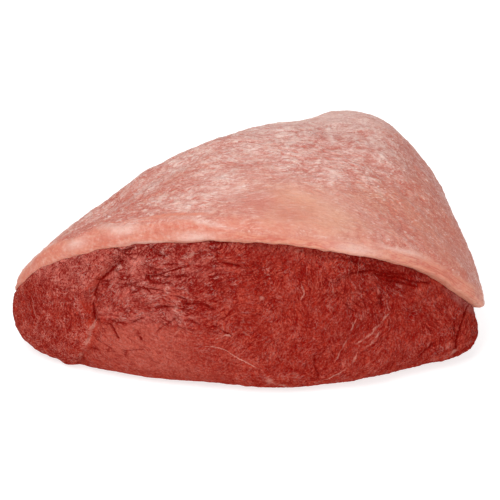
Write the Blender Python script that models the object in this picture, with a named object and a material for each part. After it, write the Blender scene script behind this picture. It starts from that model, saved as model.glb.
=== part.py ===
"""A raw picanha: a whole beef rump cap, lying on its lean side with the fat cap up.

The cut across the broad end faces -Y and the thin tip points back and to the right.  It has two pieces:
the lean muscle, and the layer of fat that covers its top and shows as a pale band along the cut.
Metres, +Z up.  The origin is on the surface that it rests on, under the middle of the piece.
"""

import bmesh
import bpy
import numpy as np

# Driving dimensions
WIDTH = 0.190          # along the cut, from the left tip to the right corner
DEPTH = 0.175          # from the cut back to the tip
FACE_HEIGHT = 0.0655   # red face at the middle of the cut
LEAN_CREST = 0.0702    # highest point of the lean
CREST_FAT = 0.0084     # fat over that point
GAP = 0.0004           # clearance between the lean and the fat

# The crest, as shares of WIDTH from the middle and of DEPTH from the cut
CREST = (0.09, 0.42)

# Outline, anticlockwise from above, from the left tip.  Each row: place across as a share of WIDTH from
# the middle, place back as a share of DEPTH, then the height of the fat's lower edge and the rounding at
# the foot as shares of FACE_HEIGHT.
OUTLINE = (
    (-0.502, 0.250, 0.385, 0.24),   # left tip
    (-0.433, 0.153, 0.670, 0.22),
    (-0.276, 0.070, 0.890, 0.24),
    (-0.040, 0.010, 0.995, 0.21),   # middle of the cut
    (0.167, 0.010, 0.935, 0.20),
    (0.350, 0.083, 0.735, 0.24),
    (0.473, 0.161, 0.430, 0.21),
    (0.498, 0.270, 0.260, 0.15),    # right corner
    (0.475, 0.470, 0.250, 0.13),
    (0.446, 0.700, 0.250, 0.13),
    (0.355, 0.920, 0.240, 0.13),
    (0.250, 1.000, 0.230, 0.13),    # tip at the back
    (0.115, 0.910, 0.240, 0.13),
    (-0.110, 0.710, 0.270, 0.14),
    (-0.310, 0.525, 0.310, 0.17),
    (-0.455, 0.382, 0.330, 0.21),
)

# How gently the dome turns over at its crest
CREST_SOFTNESS = 0.15

# Broad swells and dents of the fat: place as shares of WIDTH and DEPTH, rise, reach across and back
SWELLS = (
    (0.18, 0.68, -0.0050, 0.025, 0.040),
    (0.30, 0.69, 0.0048, 0.018, 0.047),
    (-0.31, 0.28, -0.0031, 0.018, 0.037),
    (-0.06, 0.42, 0.0024, 0.037, 0.047),
)

# Lines on the cut face, as shares of WIDTH from the middle and of FACE_HEIGHT
SEAM = ((-0.22, 0.95), (-0.27, 0.75), (-0.32, 0.53), (-0.31, 0.33), (-0.35, 0.05))
CREASE = ((0.19, 0.74), (0.25, 0.74), (0.30, 0.66), (0.34, 0.58))
BREAK = ((-0.31, 0.41), (-0.26, 0.41), (-0.21, 0.46), (-0.14, 0.44))

# Relief of the cut face
SEAM_DEPTH = 0.0020
SEAM_REACH = 0.0022
LOBE_EDGE = 0.0008
CREASE_DEPTH = 0.0014
BREAK_STEP = 0.0008
LEAN_WAVE = 0.0005

# Relief of the fat
FAT_EDGE_ROUND = 0.60   # rounding of its upper edge, as a share of its thickness there
FAT_WAVE = 0.0006
EDGE_WAVE = 0.0004

# Fineness of the surfaces
COLUMNS = 128
FRONT_CROWDING = 3.0
COVERED_RINGS = 6
FACE_RINGS = 13
FOOT_RINGS = 4
FAT_RINGS = 12
BAND_RINGS = 3
SMOOTH_ANGLE = np.radians(50)


def clear_scene():
    for thing in list(bpy.data.objects):
        bpy.data.objects.remove(thing, do_unlink=True)


def ease(low, high, value):
    """0 below low, 1 above high, smooth between."""
    share = np.clip((value - low) / (high - low), 0.0, 1.0)
    return share * share * (3.0 - 2.0 * share)


def spline(before, start, end, after, steps):
    """Points of a curve that passes through start and end, for every row of four neighbours."""
    t = (np.arange(steps) / steps)[None, :, None]
    before, start, end, after = (rows[:, None, :] for rows in (before, start, end, after))
    points = 0.5 * (2 * start + (end - before) * t
                    + (2 * before - 5 * start + 4 * end - after) * t ** 2
                    + (3 * start - before - 3 * end + after) * t ** 3)
    return points.reshape(-1, start.shape[-1])


def closed_curve(rows, steps=64):
    rows = np.array(rows)
    before, after, beyond = (np.roll(rows, shift, axis=0) for shift in (1, -1, -2))
    curve = spline(before, rows, after, beyond, steps)
    return np.vstack([curve, curve[:1]])


def open_curve(rows, steps=8):
    rows = np.array(rows)
    padded = np.vstack([2 * rows[:1] - rows[1:2], rows, 2 * rows[-1:] - rows[-2:-1]])
    curve = spline(padded[:-3], padded[1:-2], padded[2:-1], padded[3:], steps)
    return np.vstack([curve, rows[-1:]])


class Sections:
    """The piece cut by upright planes through its crest, one for each column of the mesh."""

    def __init__(self, columns):
        curve = closed_curve(OUTLINE)
        steps = np.hypot(np.diff(curve[:, 0]) * WIDTH, np.diff(curve[:, 1]) * DEPTH)
        crowding = 1 + (FRONT_CROWDING - 1) * (1 - ease(0.15, 0.45, curve[1:, 1]))
        travelled = np.concatenate([[0.0], np.cumsum(steps * crowding)])
        wanted = np.arange(columns) / columns * travelled[-1]
        across, back, rim, foot = (np.interp(wanted, travelled, curve[:, k]) for k in range(4))
        right = across + 0.5
        self.rim = rim * FACE_HEIGHT
        self.foot = foot * FACE_HEIGHT
        self.crest = np.array([CREST[0] * WIDTH, CREST[1] * DEPTH])
        spokes = np.stack([across * WIDTH, back * DEPTH], axis=1) - self.crest
        self.reach = np.linalg.norm(spokes, axis=1)
        self.spoke = spokes / self.reach[:, None]
        # How full the dome is towards its middle, and how far its shoulder stands out
        self.fullness = 1.45 + 0.4 * right + 0.45 * back
        self.shoulder = 1 + 0.7 * ease(0.18, 0.5, back) * (0.8 + 0.2 * ease(0.3, 0.75, right))
        # Fat at the edge, how far it stands out, and how far the lean draws back under it
        self.fat_edge = 0.0038 + 0.0050 * (1 - ease(0.25, 0.5, back))
        self.fat_edge -= 0.0028 * (1 - ease(0.0, 0.08, right))
        self.lip = 0.0042 * ease(0.1, 0.9, right)
        self.fat_round = FAT_EDGE_ROUND * self.fat_edge
        self.setback = 0.0042 - 0.002 * ease(0.1, 0.4, back)
        self.turn = np.arange(columns) / columns * 2 * np.pi

    def dome(self, share, rim, crest):
        """Height of a dome over its rim, at a share of the way out from its crest."""
        outward = np.hypot(share, CREST_SOFTNESS) - CREST_SOFTNESS
        outward = np.minimum(outward / (np.hypot(1.0, CREST_SOFTNESS) - CREST_SOFTNESS), 1.0)
        return rim + (crest - rim) * (1 - outward ** self.fullness) ** (1 / self.shoulder)

    def ring(self, distance, height):
        plan = self.crest + self.spoke * np.asarray(distance)[:, None]
        return np.column_stack([plan, np.broadcast_to(height, distance.shape)])


def line_distance(line, x, z):
    """Distance from points of the cut face to a line on it, positive on the left of its travel."""
    points = open_curve(line) * (WIDTH, FACE_HEIGHT)
    nearest = np.full(x.shape, np.inf)
    signed = np.zeros(x.shape)
    for start, end in zip(points[:-1], points[1:]):
        run = end - start
        share = np.clip(((x - start[0]) * run[0] + (z - start[1]) * run[1]) / (run @ run), 0, 1)
        off_x = x - start[0] - share * run[0]
        off_z = z - start[1] - share * run[1]
        distance = np.hypot(off_x, off_z)
        side = np.where(run[0] * off_z - run[1] * off_x >= 0, 1.0, -1.0)
        closer = distance < nearest
        signed = np.where(closer, side * distance, signed)
        nearest = np.where(closer, distance, nearest)
    return signed


def hump(distance, reach):
    return np.exp(-(distance / reach) ** 2)


def face_relief(ring):
    """How far the red face stands out at each point of a ring: seam, crease, break and broad waves."""
    x, y, z = ring.T
    front = 1 - ease(0.35 * DEPTH, 0.5 * DEPTH, y)
    seam = line_distance(SEAM, x, z)
    crease = line_distance(CREASE, x, z)
    broken = line_distance(BREAK, x, z)
    relief = LOBE_EDGE * hump(seam + 0.004, 0.0035) - SEAM_DEPTH * hump(seam, SEAM_REACH)
    relief += CREASE_DEPTH * (0.6 * hump(crease + 0.004, 0.003) - hump(crease, 0.0025))
    relief -= BREAK_STEP * ease(0.0, 0.003, -broken) * (1 - ease(0.004, 0.016, -broken))
    waves = np.sin(x / 0.0075 + 1.3 * np.sin(z / 0.011)) * np.sin(z / 0.0062 + y / 0.013)
    return relief * front + LEAN_WAVE * waves


def lean_rings(cut):
    """Rings of the lean from its crest over the covered top, down the face, and round the foot."""
    covered = []
    inner = cut.reach - cut.setback
    for k in range(1, COVERED_RINGS + 1):
        share = np.sin(np.pi / 2 * k / COVERED_RINGS)
        covered.append(cut.ring(inner * share, cut.dome(share, cut.rim, LEAN_CREST)))
    open_sides = []
    for k in range(1, FACE_RINGS + 1):
        height = cut.rim + (cut.foot - cut.rim) * k / FACE_RINGS
        distance = cut.reach - cut.setback * (height / cut.rim) ** 2
        standing = face_relief(cut.ring(distance, height)) * ease(0.0, 0.006, cut.rim - height)
        open_sides.append(cut.ring(distance + standing, height))
    for k in range(1, FOOT_RINGS + 1):
        angle = np.pi / 2 * k / FOOT_RINGS
        height = cut.foot * (1 - np.sin(angle))
        distance = cut.reach - cut.setback * (height / cut.rim) ** 2 - cut.foot * (1 - np.cos(angle))
        standing = face_relief(cut.ring(distance, height)) * np.cos(angle)
        open_sides.append(cut.ring(distance + standing, height))
    return covered, open_sides


def fat_height(ring):
    """Swells, dents and broad waves of the fat's outer side."""
    x, y = ring[:, 0], ring[:, 1]
    height = FAT_WAVE * np.sin(x / 0.0062 + 1.7 * np.sin(y / 0.012)) * np.sin(y / 0.0071 - x / 0.021)
    for across, back, rise, reach_x, reach_y in SWELLS:
        height += rise * hump(x - across * WIDTH, reach_x) * hump(y - back * DEPTH, reach_y)
    return height


def fat_rings(cut):
    """Rings of the fat from its crest out over the top, then down the band that shows at the cut."""
    inner = cut.reach - cut.setback
    outer = inner + cut.lip + EDGE_WAVE * np.sin(17 * cut.turn) * np.sin(5 * cut.turn + 1)
    edge = cut.rim + cut.fat_edge
    crest = LEAN_CREST + CREST_FAT
    rings = []
    for k in range(1, FAT_RINGS + 1):
        share = np.sin(np.pi / 2 * k / FAT_RINGS)
        ring = cut.ring(outer * share, cut.dome(share, edge, crest))
        tucked = np.clip(cut.fat_round - outer * (1 - share), 0, cut.fat_round)
        ring[:, 2] -= cut.fat_round - np.sqrt(cut.fat_round ** 2 - tucked ** 2)
        ring[:, 2] += fat_height(ring) * (1 - share ** 6)
        rings.append(ring)
    edge = edge - cut.fat_round
    for k in range(1, BAND_RINGS):
        share = k / BAND_RINGS
        distance = outer + (inner - outer) * share ** 2 + 0.0008 * np.sin(np.pi * share)
        rings.append(cut.ring(distance, edge + (cut.rim + GAP - edge) * share))
    return rings


def lifted(rings, top):
    """The rings of a surface moved off it, along its normals, by the gap."""
    grid = np.array([np.broadcast_to(top, rings[0].shape)] + list(rings))
    outward = np.gradient(grid, axis=0)
    around = np.roll(grid, -1, axis=1) - np.roll(grid, 1, axis=1)
    normal = np.cross(outward[1:], around[1:])
    normal /= np.linalg.norm(normal, axis=2, keepdims=True)
    return list(grid[1:] + GAP * normal)


def closed_mesh(name, top, rings, bottom=None):
    """A body from its top point down through rings of equal length, to a point or to a flat face."""
    mesh = bmesh.new()
    pole = mesh.verts.new(top)
    rows = [[mesh.verts.new(point) for point in ring] for ring in rings]
    count = len(rows[0])
    for i in range(count):
        after = (i + 1) % count
        mesh.faces.new((pole, rows[0][i], rows[0][after]))
        for upper, lower in zip(rows[:-1], rows[1:]):
            mesh.faces.new((upper[i], lower[i], lower[after]))
            mesh.faces.new((upper[i], lower[after], upper[after]))
    if bottom is None:
        mesh.faces.new(rows[-1][::-1])
    else:
        end = mesh.verts.new(bottom)
        for i in range(count):
            mesh.faces.new((end, rows[-1][(i + 1) % count], rows[-1][i]))
    data = bpy.data.meshes.new(name)
    mesh.to_mesh(data)
    mesh.free()
    data.shade_smooth()
    data.set_sharp_from_angle(angle=SMOOTH_ANGLE)
    return data


def add_object(data, material):
    thing = bpy.data.objects.new(data.name, data)
    bpy.context.scene.collection.objects.link(thing)
    data.materials.append(material)
    return thing


def raw_material(name, color, roughness):
    material = bpy.data.materials.new(name)
    material.use_nodes = True
    shader = material.node_tree.nodes["Principled BSDF"]
    shader.inputs["Base Color"].default_value = (*color, 1.0)
    shader.inputs["Roughness"].default_value = roughness
    shader.inputs["Metallic"].default_value = 0.0
    return material


def red_muscle():
    return raw_material("red muscle", (0.32, 0.037, 0.025), 0.42)


def white_fat():
    return raw_material("white fat", (0.70, 0.31, 0.23), 0.45)


def make_lean(cut):
    covered, open_sides = lean_rings(cut)
    data = closed_mesh("lean", (*cut.crest, LEAN_CREST), covered + open_sides)
    return add_object(data, red_muscle())


def make_fat(cut):
    covered, _ = lean_rings(cut)
    lean_top = np.array([*cut.crest, LEAN_CREST])
    under = lifted(covered, lean_top)[::-1]
    top = np.array([[*cut.crest, LEAN_CREST + CREST_FAT]])
    top[:, 2] += fat_height(top)
    data = closed_mesh("fat_cap", top[0], fat_rings(cut) + under, bottom=lean_top + (0, 0, GAP))
    return add_object(data, white_fat())


def centre(things):
    """Move the whole so that the origin is under the middle of its box."""
    corners = np.array([vertex.co for thing in things for vertex in thing.data.vertices])
    middle = (corners.min(axis=0) + corners.max(axis=0)) / 2
    for thing in things:
        for vertex in thing.data.vertices:
            vertex.co.x -= middle[0]
            vertex.co.y -= middle[1]


def main():
    clear_scene()
    cut = Sections(COLUMNS)
    centre([make_lean(cut), make_fat(cut)])


main()
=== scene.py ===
import math

import bpy
import numpy as np
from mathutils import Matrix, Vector


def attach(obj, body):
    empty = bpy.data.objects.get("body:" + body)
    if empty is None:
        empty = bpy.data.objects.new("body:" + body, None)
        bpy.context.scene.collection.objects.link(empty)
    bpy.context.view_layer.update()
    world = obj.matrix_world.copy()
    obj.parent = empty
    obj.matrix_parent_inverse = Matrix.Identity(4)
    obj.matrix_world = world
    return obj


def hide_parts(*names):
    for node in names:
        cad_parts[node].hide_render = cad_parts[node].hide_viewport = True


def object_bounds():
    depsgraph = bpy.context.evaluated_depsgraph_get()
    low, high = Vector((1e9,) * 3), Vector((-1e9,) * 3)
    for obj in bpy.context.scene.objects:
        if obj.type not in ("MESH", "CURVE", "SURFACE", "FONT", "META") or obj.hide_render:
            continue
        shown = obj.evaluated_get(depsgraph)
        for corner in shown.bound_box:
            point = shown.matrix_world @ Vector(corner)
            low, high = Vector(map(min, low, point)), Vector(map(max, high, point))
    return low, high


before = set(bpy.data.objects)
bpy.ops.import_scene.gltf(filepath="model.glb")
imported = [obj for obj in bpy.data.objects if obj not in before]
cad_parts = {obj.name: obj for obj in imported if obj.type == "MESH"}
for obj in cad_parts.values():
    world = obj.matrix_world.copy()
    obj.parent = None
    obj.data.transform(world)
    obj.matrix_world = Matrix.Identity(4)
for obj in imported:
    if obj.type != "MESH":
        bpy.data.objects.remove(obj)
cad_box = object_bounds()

# The looks of a whole raw picanha: the red lean with its cut face in front, and the pale fat cap over it.
# Metres, +Z up, in the frame of the solids that these pieces replace.

# Driving dimensions of the meat
WIDTH = 0.190
DEPTH = 0.175
FACE_HEIGHT = 0.0655
LEAN_CREST = 0.0702
CREST_FAT = 0.0084
CREST = (0.09, 0.42)
CREST_SOFTNESS = 0.15

# Outline, anticlockwise from above: place across and back as shares of WIDTH and DEPTH, then the height of
# the fat's lower edge and the rounding at the foot as shares of FACE_HEIGHT
OUTLINE = (
    (-0.502, 0.250, 0.385, 0.24),   # left tip
    (-0.433, 0.153, 0.670, 0.22),
    (-0.276, 0.070, 0.890, 0.24),
    (-0.040, 0.010, 0.995, 0.21),   # middle of the cut
    (0.167, 0.010, 0.935, 0.20),
    (0.350, 0.083, 0.735, 0.24),
    (0.473, 0.161, 0.430, 0.21),
    (0.498, 0.270, 0.260, 0.15),    # right corner
    (0.475, 0.470, 0.250, 0.13),
    (0.446, 0.700, 0.250, 0.13),
    (0.355, 0.920, 0.240, 0.13),
    (0.250, 1.000, 0.230, 0.13),    # tip at the back
    (0.115, 0.910, 0.240, 0.13),
    (-0.110, 0.710, 0.270, 0.14),
    (-0.310, 0.525, 0.310, 0.17),
    (-0.455, 0.382, 0.330, 0.21),
)

# Broad swells and dents of the fat: place as shares of WIDTH and DEPTH, rise, reach across and back
SWELLS = (
    (0.18, 0.68, -0.0050, 0.025, 0.040),
    (0.30, 0.69, 0.0048, 0.018, 0.047),
    (-0.31, 0.28, -0.0031, 0.018, 0.037),
    (-0.06, 0.42, 0.0024, 0.037, 0.047),
)

# Places on the cut face are given in percent: of WIDTH from the middle, and of FACE_HEIGHT. Half-widths
# and the reach of spots are given in hundredths of a millimetre.
PER_METRE = 1e5    # hundredths of a millimetre
FAR_OFF = 6        # half-widths from a line where it has no hold any more
SEAM = ((-22, 95), (-27, 75), (-32, 53), (-31, 33), (-35, 5))
CREASE = ((19, 74), (25, 74), (30, 66), (34, 58))
BREAK = ((-31, 41), (-26, 41), (-21, 46), (-14, 44))

# Cracks, cut into the relief and painted dark as the shade in them: strength, half-width, and the points of
# the line
CRACKS = (
    (1, 63, (-25.5, 80), (-27.8, 73), (-30.5, 63), (-31.6, 50), (-31.2, 40)),
    (0.35, 27, (-31.2, 40), (-32.5, 28), (-33.8, 20), (-34.2, 8)),
    (0.8, 40, (-31.2, 40), (-29.1, 42.5), (-26.6, 41.4), (-24, 41.5), (-21.3, 46)),
    (0.9, 46, (-28.9, 64), (-25.4, 64.5), (-21.6, 69), (-19, 73.5)),
    (1, 45, (-19.8, 73.9), (-17.8, 75), (-15, 78.5), (-12.4, 81.4)),
    (1, 60, (-20.7, 65.9), (-19.6, 64.1)),
    (0.9, 50, (-18.5, 87.7), (-17.1, 87.1), (-15.7, 88.3)),
    (0.9, 50, (-18.9, 90.5), (-17.8, 90)),
    (0.9, 60, (-16.4, 81.4), (-14.6, 82.8)),
    (0.8, 40, (-20.4, 80.8), (-18.9, 79.3), (-17.2, 77.9)),
    (0.8, 40, (-24.3, 85.5), (-21.8, 86.6)),
    (0.8, 40, (-13.9, 63), (-12.4, 61.4)),
    (0.5, 36, (-9, 91.1), (-9.7, 88), (-12.4, 80.5)),
    (0.8, 36, (-23, 62), (-20, 66), (-17, 65.5)),
    (0.9, 36, (-12.8, 58.3), (-9, 59), (-6.6, 56.7)),
    (0.7, 30, (-6.6, 46.5), (-5, 44), (-3, 40.5)),
    (0.8, 36, (-28.2, 39.3), (-26.3, 31.5)),
    (1, 45, (-23.8, 40), (-21.5, 32.6)),
    (0.7, 30, (-32.2, 20.5), (-28.5, 21.5), (-24.8, 21)),
    (0.9, 50, (-30.5, 66.5), (-27.5, 65.5), (-25, 66.5), (-22.5, 66), (-20.5, 65)),
    (0.9, 60, (-19.5, 79), (-17, 75), (-14.5, 74.5), (-12, 76)),
    (0.8, 50, (-20, 72), (-17.5, 70), (-15, 71)),
    (0.9, 70, (-26.5, 89), (-25, 87.5), (-23.5, 89)),
    (0.9, 80, (-27, 74.5), (-25.5, 73.5)),
    (0.5, 27, (-30.5, 27.7), (-27.5, 23.6)),
    (0.4, 18, (-29.4, 21), (-24, 24), (-21, 26)),
    (0.8, 46, (-26, 70), (-24.5, 69), (-23.8, 72)),
    (0.7, 55, (-24.5, 85), (-22.5, 83), (-21.5, 87)),
    (0.6, 73, (18, 88.5), (21.5, 85.5), (25.5, 79), (28, 76)),
    (1, 70, (26.5, 73.5), (30, 70.5), (33.5, 66), (37.6, 62)),
    (0.9, 50, (21.5, 77.5), (25, 76.5), (28.5, 73.5), (32.5, 70)),
    (0.9, 50, (29, 69), (32, 65), (35, 61.5)),
    (0.8, 40, (-17.5, 55), (-14.6, 55.5), (-11.7, 55)),
    (0.6, 30, (-17.8, 40), (-16, 44.8), (-13.9, 49)),
    (0.8, 40, (-11.7, 48.3), (-9.5, 46.2)),
    (0.9, 40, (-4.4, 86.2), (-2, 84.8), (0.2, 84)),
    (0.8, 40, (43.4, 33), (43.7, 28)),
    (0.8, 50, (36.5, 16), (37.8, 20), (39, 23)),
    (0.8, 40, (20.2, 59), (21.7, 54)),
    (0.8, 40, (22.6, 59), (23.7, 55.6)),
    (0.7, 40, (24.1, 60), (24.6, 55)),
    (0.9, 50, (27.4, 60), (27.8, 53.6)),
    (0.8, 50, (37, 36), (38, 30)),
    (0.7, 36, (14, 28), (14.2, 20), (15, 12)),
    (1, 70, (43.8, 10), (44, 20), (45.5, 31), (46.6, 37)),
)
CRACK_DEPTH = 0.0007    # of a crack of full strength

# Pale threads of tissue: strength, half-width, and the points of the line
THREADS = (
    (0.85, 22, (-8.2, 32.9), (-4.6, 31.7), (-1.4, 26.2), (2.6, 20.5)),
    (0.8, 35, (-5.5, 39), (-4.3, 40.8), (-3.3, 40.5)),
    (0.3, 30, (1.6, 34.7), (2.4, 36.2), (3.4, 38.5)),
    (0.2, 20, (5.1, 49), (6, 37), (5.7, 27), (5, 20)),
    (0.5, 35, (22.2, 48), (20.5, 37), (18.6, 25)),
    (0.6, 60, (22.3, 24.5), (21.9, 21.5), (21.5, 18.5)),
    (0.6, 80, (25.6, 32.5), (26.6, 34.5), (27.8, 37)),
    (0.6, 45, (28.8, 47.8), (26.2, 39.4), (23.2, 34)),
    (0.5, 25, (23, 89), (22.7, 81), (23.1, 70), (23.6, 62)),
    (0.5, 40, (11.4, 72), (11.8, 68), (11.2, 65)),
    (0.4, 30, (17.1, 75), (17.4, 68)),
    (0.7, 50, (16.4, 9), (18.4, 12.5), (20.2, 16.5)),
    (0.3, 30, (-44.5, 44), (-43.6, 33), (-42, 26)),
    (0.4, 30, (-12.5, 44.5), (-13.5, 42), (-14.3, 38.5)),
    (0.6, 50, (-12.4, 87.1), (-11.3, 88.2), (-10.2, 90.3)),
    (0.35, 40, (-22.2, 60.7), (-19.5, 61.4), (-17.2, 61.4)),
    (0.65, 90, (-31.5, 38), (-32.5, 28), (-33.8, 20), (-34.8, 10)),
    (0.6, 70, (4.2, 15), (5, 11), (6.6, 8), (9, 5)),
)

# Spots of fat: place, reach and strength
SPOTS = (
    (3.2, 65.5, 100, 0.5), (43.7, 11.2, 100, 0.6), (4.8, 12, 120, 0.6), (-13.9, 56, 60, 0.5),
)

# Grain of the lean: place on the face, angle from level in degrees, how much it shows as fibres, and how
# far the bundles of fibres have come apart
GRAIN = (
    (-43, 46, 80, 0.1, 0.5), (-40, 25, 60, 0.1, 0.4), (-35, 65, 60, 0.2, 0.6), (-29, 79, 48, 0.45, 0.6),
    (-27, 60, 15, 0.6, 0.5), (-19, 84, 12, 0.75, 1), (-19, 68, 18, 0.9, 1), (-19, 55, 2, 0.55, 0.5),
    (-10, 85, 45, 0.6, 0.8), (-8, 68, 12, 0.7, 0.7), (-5, 56, -8, 0.55, 0.6), (-26, 30, -38, 0.3, 0.1),
    (-15, 31, -28, 0.3, 0.1), (-20, 18, 4, 0.25, 0.1), (0, 15, 10, 0.2, 0.1), (1, 85, -25, 0.15, 0.7),
    (1, 54, 35, 0.25, 0.4), (-3, 34, 28, 0.4, 0.5), (8.5, 86, 60, 0.25, 0.6), (8.5, 60, 72, 0.35, 0.3),
    (10, 30, 78, 0.35, 0.3), (18.5, 84, 85, 0.35, 0.7), (18.7, 59, 80, 0.5, 0.4),
    (18.6, 33, 62, 0.65, 0.3), (20, 15, 30, 0.3, 0.2), (28, 74, -22, 0.9, 1), (27, 55, -72, 0.5, 0.6),
    (27, 36, 52, 0.6, 0.3), (35.2, 55, -55, 0.6, 0.6), (35.3, 29, -78, 0.6, 0.5),
    (42, 37, -72, 0.55, 0.5), (45.5, 20, 85, 0.5, 0.6),
)
GRAIN_REACH = 0.075     # how far each row counts, as a share of WIDTH
SIDE_GRAIN = (12, 0.45, 0.5)    # the same but for the place, where no row reaches
SIDE_WEIGHT = 0.02

# Patches of the lean, each by its place and reach in percent of WIDTH and FACE_HEIGHT
DARK_PATCHES = (
    (-43, 50, 7, 35), (14, 30, 7, 22), (-9, 28, 5, 16), (27, 72, 8, 16), (-15, 5, 25, 8),
    (33, 25, 10, 20), (4, 90, 6, 6), (6.5, 66, 3, 12), (32, 62, 3, 10), (22, 45, 10, 20),
    (27, 12, 8, 10),
)
# Patches where a moist sheen is painted onto the lean
PAINTED_SHEEN_PATCHES = (
    (-22, 77, 11, 22), (-36, 74, 7, 16), (-10, 80, 5, 8), (-15, 50, 5, 5), (-24, 47, 6, 5),
    (-41, 64, 3, 8),
)

# Patches of the fat's top, each by its place and reach in percent of WIDTH and DEPTH
# Pale patches, partly pale fat and partly painted glare
PALE_AND_GLARE_PATCHES = (
    (-14, 13, 9, 6), (-5, 21, 8, 9), (7, 50, 18, 16), (12, 30, 14, 8), (28, 42, 5, 10),
    (17, 60, 10, 12), (1, 38, 12, 12), (-30, 30, 5, 4), (-17, 32, 7, 7),
)
CREAM_PATCHES = (
    (13, 11, 7, 7), (19, 8, 5, 5), (32, 24, 6, 10), (-6, 33, 4, 5), (40, 34, 6, 18),
)
ROSY_PATCHES = (
    (2, 9, 6, 6), (9, 6.5, 5, 5), (-36, 17, 9, 7), (17, 40, 5, 8), (30, 30, 4, 6), (-24, 36, 6, 5),
    (-26, 12, 8, 5), (43, 30, 9, 25), (40, 60, 8, 22), (38, 14, 8, 7),
)

# Patches of the band of fat at the cut, each by its place and reach in percent of WIDTH and of the band's
# thickness
# Pale patches of the band, partly pale fat and partly painted highlights
PALE_BAND_AND_HIGHLIGHTS = (
    (-34.5, 55, 2.2, 22), (-20, 5, 4.5, 10), (-24.5, 75, 3, 18), (22, 45, 5, 25), (31, 75, 6, 12),
    (-10, 30, 4, 20),
)
ROSY_BAND = (
    (-28.2, 45, 2.2, 35), (-33.5, 90, 1.2, 25), (-43.5, 80, 1.2, 35), (-16, 50, 2, 20), (6, 40, 3, 15),
    (-46, 30, 2, 30), (40, 45, 7, 30),
)

# Width, length over width and depth of what stands up: bundles of fibres and the granules where the cut
# crosses the fibres, on the lean, and folds on the fat
BUNDLE_SIZE, BUNDLE_STRETCH, BUNDLE_DEPTH = 0.0020, 5.0, 0.00052
GRANULE_SIZE, GRANULE_STRETCH, GRANULE_DEPTH = 0.0015, 1.5, 0.00022
FOLD_SIZE, FOLD_STRETCH, FOLD_DEPTH = 0.0020, 3.0, 0.00026

# Depths of the rest of the relief
LUMP_DEPTH, RIPPLE_DEPTH, FIBRE_DEPTH = 0.00034, 0.00030, 0.00013
FAT_LUMP_DEPTH, WRINKLE_DEPTH, VALLEY_DEPTH, PIT_DEPTH = 0.00036, 0.00012, 0.00030, 0.00018
LAYER_DEPTH, BAND_LUMP_DEPTH = 0.00012, 0.00030

# Fineness of the surfaces
COLUMNS = 704
FRONT_CROWDING = 3.5
COVERED_RINGS = 6
COVERED_SHARES = [math.sin(math.pi / 2 * k / COVERED_RINGS) for k in range(1, COVERED_RINGS)]
FACE_RINGS = 112
FOOT_RINGS = 20
BAND_RINGS = 14
CLEARANCE = 0.00005     # between the two pieces where they meet

# View
CAMERA_AIM = Vector((0.0006, -0.0057, 0.0253))
CAMERA_DISTANCE = 0.936
CAMERA_PITCH = 25.0
LENS = 161.9
SENSOR = 36.0

# Lights by turn to the right from the front, pitch above level, distance, size and power
LIGHTS = {"key": (-28, 50, 1.3, 0.6, 12), "fill": (40, 25, 1.4, 0.9, 4), "back": (172, 58, 1.4, 0.8, 4.5)}
ROOM_GLOW = 0.40
FLOOR_HALF = 3.0
FLOOR_TONE = (0.4, 0.4, 0.4)
FLOOR_GLOW = 0.75
WHITE = (1.0, 1.0, 1.0)

# Noise of the materials
LATTICE_TURN = 1.1      # radians
DRAWN_CONTRAST = 4.0    # brings the average of several noises back to the spread of one


def ease(low, high, value):
    """0 below low, 1 above high, smooth between."""
    share = np.clip((value - low) / (high - low), 0.0, 1.0)
    return share * share * (3.0 - 2.0 * share)


def hump(distance, reach):
    return np.exp(-(distance / reach) ** 2)


# Numbers that look random and are the same each run

def scrambled(cell, seed):
    """A number from 0 to 1 for each cell of a grid."""
    whole = np.uint64
    x, y, z = (cell[..., k].astype(np.int64).astype(whole) for k in range(3))
    mixed = (x * whole(0x9E3779B97F4A7C15)) ^ (y * whole(0xC2B2AE3D27D4EB4F))
    mixed ^= (z * whole(0x165667B19E3779F9)) + whole(seed) * whole(0xD6E8FEB86659FD93)
    mixed ^= mixed >> whole(29)
    mixed *= whole(0xBF58476D1CE4E5B9)
    mixed ^= mixed >> whole(32)
    return (mixed >> whole(11)).astype(float) / float(1 << 53)


def noise(points, size, seed):
    """Smooth noise from -1 to 1 with bumps of about the given size."""
    place = points / size
    low = np.floor(place)
    part = place - low
    part = part * part * part * (part * (part * 6 - 15) + 10)
    total = 0.0
    for corner in np.ndindex(2, 2, 2):
        step = np.array(corner)
        weight = np.prod(np.where(step == 1, part, 1 - part), axis=-1)
        total = total + weight * (2 * scrambled(low + step, seed) - 1)
    return total


def rough_noise(points, size, seed):
    return sum(noise(points, size / 2 ** k, seed + k) / 2 ** k for k in range(3))


def streaks(points, along, size, length, seed):
    """Noise drawn out along a direction at each point, scaled to an even spread."""
    total = 0.0
    for t in np.linspace(-0.5, 0.5, 9):
        total = total + noise(points + along * (t * length), size, seed)
    return total / total.std()


def bundles(across, up, angle, size, stretch, seed, span=None):
    """Patches scattered over an unrolled surface and drawn out along the grain.

    Gives how far each point is inside its patch, and a number from 0 to 1 that belongs to the patch.
    span is the length after which across starts again.
    """
    turns = None
    if span is not None:
        turns = round(span / size)
        size = span / turns
    column, row = np.floor(across / size), np.floor(up / size)
    nearest = np.full(across.shape, 99.0)
    second = np.full(across.shape, 99.0)
    own = np.zeros(across.shape)
    reach = math.ceil(stretch)
    for i in range(-reach, reach + 1):
        for j in range(-reach, reach + 1):
            here = column + i
            cell = np.stack([here if turns is None else here % turns, row + j, 0 * row], axis=-1)
            aside = here + scrambled(cell, seed) - across / size
            above = row + j + scrambled(cell, seed + 1) - up / size
            along = (aside * np.cos(angle) + above * np.sin(angle)) / stretch
            distance = np.hypot(along, above * np.cos(angle) - aside * np.sin(angle))
            closer = distance < nearest
            second = np.where(closer, nearest, np.minimum(second, distance))
            own = np.where(closer, scrambled(cell, seed + 2), own)
            nearest = np.where(closer, distance, nearest)
    return second - nearest, own


# The form of the meat, from the same named sizes as its solids

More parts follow.
